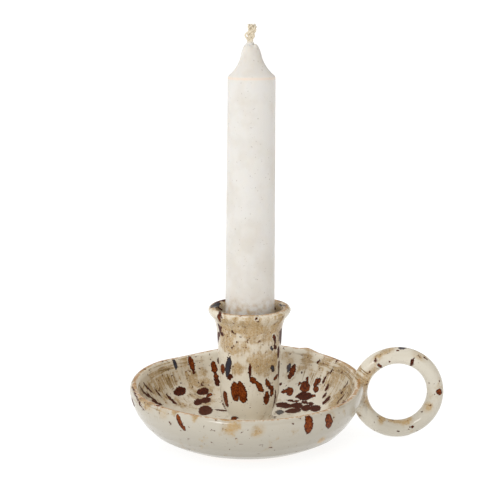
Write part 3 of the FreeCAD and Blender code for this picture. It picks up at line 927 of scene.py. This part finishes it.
def plaited_yarn(axis, start, end, strand, yarn, settings, chance):
    """Path and radii of one yarn of the plait, from the wax to the frayed end."""
    path = []
    radii = []
    splay = Vector((chance.uniform(-1, 1), chance.uniform(-1, 1), 0)) * 0.35 * MM
    short = chance.uniform(0, 0.9) * MM
    for step in range(YARN_STEPS + 1):
        share = step / YARN_STEPS
        height = start + (end - short - start) * share
        swell = FIRST_SWELL + (LAST_SWELL - FIRST_SWELL) * share ** 0.6
        phase = 2 * math.pi * (PLAIT_TURNS * share + strand / STRANDS)
        centre = Vector((
            math.sin(phase) * settings.strand, math.sin(2 * phase) * settings.strand * 0.5, 0))
        turn = 2 * math.pi * (yarn / YARNS + YARN_TURNS * share + strand * 0.13)
        lay = Vector((math.cos(turn), math.sin(turn), 0)) * settings.yarn * 0.95
        loose = max(0.0, share - 0.8) / 0.2
        path.append(axis.at(height) + (centre + lay) * swell + splay * loose ** 2)
        radii.append(settings.yarn * (0.55 + 0.45 * swell) * (1 - 0.35 * loose))
    return path, radii


def wick_mesh(settings):
    """Core in the wax, plaited yarns above it, a frayed end and one stray loop of yarn."""
    chance = random.Random(5)
    axis = WickAxis()
    low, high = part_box("wick")
    wax_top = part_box("candle")[1].z
    shape = bmesh.new()
    heights = [low.z + (wax_top - low.z) * step / CORE_STEPS for step in range(CORE_STEPS + 1)]
    heights += [wax_top + rise for rise in CORE_END_RISES]
    tube(shape, [axis.at(height) for height in heights], CORE_RADII, sides=20)
    start = wax_top - 1.6 * MM
    end = high.z - 0.5 * MM
    for strand in range(STRANDS):
        for yarn in range(YARNS):
            path, radii = plaited_yarn(axis, start, end, strand, yarn, settings, chance)
            tube(shape, path, radii)
    for hair in range(HAIRS):
        root = axis.at(end - chance.uniform(0.2, 1.4) * MM)
        root += Vector((chance.uniform(-2.0, 1.0), chance.uniform(-1.1, 1.1), 0)) * MM
        lean = Vector((chance.uniform(-0.7, 0.7), chance.uniform(-0.7, 0.7), 1)).normalized()
        reach = min(chance.uniform(0.5, 1.6) * MM, (high.z - 0.08 * MM - root.z) / lean.z)
        bow = Vector((chance.uniform(-0.2, 0.2), chance.uniform(-0.2, 0.2), 0)) * MM
        path = [root + lean * reach * share + bow * share * share for share in (0, 0.33, 0.67, 1)]
        tube(shape, path, HAIR_RADII, sides=4)
    stray = rounded([
        axis.at(wax_top + up * MM) + Vector((across, deep, 0)) * MM
        for across, deep, up in STRAY_COURSE], 5)
    tube(shape, stray, [STRAY_RADIUS] * len(stray))
    mesh = bpy.data.meshes.new("plaited_wick")
    shape.to_mesh(mesh)
    shape.free()
    mesh.shade_smooth()
    return mesh


def dress(piece, body, nodes):
    """Puts a piece on its body and in the place of its nodes."""
    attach(piece, body)
    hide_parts(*nodes)


class CHAMBERSTICK_OT_stoneware(bpy.types.Operator):
    """Fires and glazes the dish, the candle socket and the finger loop"""
    bl_idname = "chamberstick.stoneware"
    bl_label = "Stoneware"

    def execute(self, context):
        settings = context.scene.chamberstick_stoneware
        groups = (("dish", "socket_luting", "ring_luting"), ("candle_socket",), ("finger_ring",))
        everything = [name for names in groups for name in names]
        skin = even_skin(everything, "fired_skin", settings.grain, settings.softening)
        dent(skin, settings.unevenness, settings.dent_width, 3)
        fill_crests(skin, settings.glaze_bead)
        fields = glaze_fields(skin)
        numbers = nearest_group(skin, groups)
        glaze = glaze_material(settings)
        bare = bare_material(settings)
        for number, name in enumerate(("thrown_dish", "thrown_socket", "finger_loop")):
            piece = cut_piece(skin, name, numbers == number, fields)
            piece.data.materials.append(glaze)
            piece.data.materials.append(bare)
            under = [
                int(face.center.z < 1.6 * MM and face.normal.z < -0.4 and face.center.x < 40 * MM)
                for face in piece.data.polygons]
            piece.data.polygons.foreach_set("material_index", under)
            dress(piece, "holder", groups[number])
        bpy.data.meshes.remove(skin)
        return {"FINISHED"}


class CHAMBERSTICK_OT_candle(bpy.types.Operator):
    """Presses the wax candle"""
    bl_idname = "chamberstick.candle"
    bl_label = "Candle"

    def execute(self, context):
        settings = context.scene.chamberstick_candle
        mesh = even_skin(("candle",), "wax_candle", settings.grain, 3)
        dent(mesh, 0.12 * MM, 22 * MM, 11)
        shape_wax_tip(mesh)
        mesh.shade_smooth()
        candle = new_object("wax_candle", mesh)
        candle.data.materials.append(wax_material(settings))
        dress(candle, "candle", ("candle",))
        return {"FINISHED"}


class CHAMBERSTICK_OT_wick(bpy.types.Operator):
    """Braids the cotton wick and frays its end"""
    bl_idname = "chamberstick.wick"
    bl_label = "Wick"

    def execute(self, context):
        settings = context.scene.chamberstick_candle
        wick = new_object("plaited_wick", wick_mesh(settings))
        wick.data.materials.append(cotton_material(settings))
        dress(wick, "candle", ("wick",))
        return {"FINISHED"}


def lay_floor(settings):
    """A lit white board under the foot."""
    corners = [(across * FLOOR_REACH, deep * FLOOR_REACH, FLOOR_LEVEL) for across, deep in (
        (-1, -1), (1, -1), (1, 1), (-1, 1))]
    mesh = bpy.data.meshes.new("studio_floor")
    mesh.from_pydata(corners, [], [(0, 1, 2, 3)])
    material, add = new_material("matt_white_board")
    surfaced(add, {
        "Base Color": settings.floor, "Roughness": 0.9, "Specular IOR Level": 0.0,
        "Emission Color": (1.0, 1.0, 1.0), "Emission Strength": settings.glow})
    mesh.materials.append(material)
    floor = new_object("studio_floor", mesh)


def light_room(settings):
    """A white ceiling towards one side, a dim room opposite, and a bright band at the horizon."""
    world = bpy.data.worlds.new("white_studio")
    world.use_nodes = True
    world.node_tree.nodes.clear()
    add = partial(add_node, world.node_tree)
    looking = add("TexCoord", ()).outputs["Generated"]
    towards_ceiling = add("VectorMath", (looking, CEILING_WAY), operation="DOT_PRODUCT")
    glow = add("MapRange", (towards_ceiling, -0.15, 0.75, settings.room, settings.sky), **SMOOTH)
    height = add("SeparateXYZ", (looking,)).outputs["Z"]
    horizon = add("MapRange", (height, 0.1, 0.2, 1.05, 0.0))
    strength = add("Math", (glow, horizon), operation="MAXIMUM")
    lit = add("MapRange", (strength, settings.room, settings.sky))
    tint = add("Mix", {0: lit, 6: settings.dusk, 7: settings.daylight}, data_type="RGBA")
    background = add("Background", {"Color": tint, "Strength": strength})
    add("OutputWorld", {"Surface": background})
    return world


class CHAMBERSTICK_OT_studio(bpy.types.Operator):
    """Sets the floor, the lights and the camera"""
    bl_idname = "chamberstick.studio"
    bl_label = "Studio"

    def execute(self, context):
        settings = context.scene.chamberstick_studio
        scene = context.scene
        lay_floor(settings)
        scene.world = light_room(settings)
        for name, place, size in LAMPS:
            light = bpy.data.lights.new(name, "AREA")
            light.shape = "DISK"
            light.size = size
            light.energy = getattr(settings, name)
            lamp = new_object(name, light)
            lamp.location = place
            lamp.rotation_euler = (LAMP_AIM - lamp.location).to_track_quat("-Z", "Y").to_euler()
        scene.view_settings.view_transform = "Standard"

        camera_data = bpy.data.cameras.new("photo_camera")
        camera_data.sensor_width = SENSOR
        camera_data.lens = FOCAL_PX * SENSOR / PHOTO_SIDE_PX
        camera_data.clip_end = 100
        camera = new_object("photo_camera", camera_data)
        camera.location = CAMERA_PLACE
        camera.rotation_euler = (math.pi / 2 - CAMERA_PITCH, 0, 0)
        scene.camera = camera
        return {"FINISHED"}


class CHAMBERSTICK_PT_panel(bpy.types.Panel):
    """Lists the pieces of the chamberstick"""
    bl_label = "Chamberstick"
    bl_idname = "CHAMBERSTICK_PT_panel"
    bl_space_type = "VIEW_3D"
    bl_region_type = "UI"
    bl_category = "Chamberstick"

    def draw(self, context):
        for operator in OPERATORS:
            self.layout.operator(operator.bl_idname)


OPERATORS = (
    CHAMBERSTICK_OT_stoneware, CHAMBERSTICK_OT_candle, CHAMBERSTICK_OT_wick,
    CHAMBERSTICK_OT_studio)
CLASSES = (StonewareSettings, CandleSettings, StudioSettings) + OPERATORS + (CHAMBERSTICK_PT_panel,)


def register():
    for kind in CLASSES:
        bpy.utils.register_class(kind)
    bpy.types.Scene.chamberstick_stoneware = PointerProperty(type=StonewareSettings)
    bpy.types.Scene.chamberstick_candle = PointerProperty(type=CandleSettings)
    bpy.types.Scene.chamberstick_studio = PointerProperty(type=StudioSettings)


def unregister():
    del bpy.types.Scene.chamberstick_studio
    del bpy.types.Scene.chamberstick_candle
    del bpy.types.Scene.chamberstick_stoneware
    for kind in reversed(CLASSES):
        bpy.utils.unregister_class(kind)


def main():
    register()
    bpy.ops.chamberstick.stoneware()
    bpy.ops.chamberstick.candle()
    bpy.ops.chamberstick.wick()
    bpy.ops.chamberstick.studio()


if __name__ == "__main__":
    main()
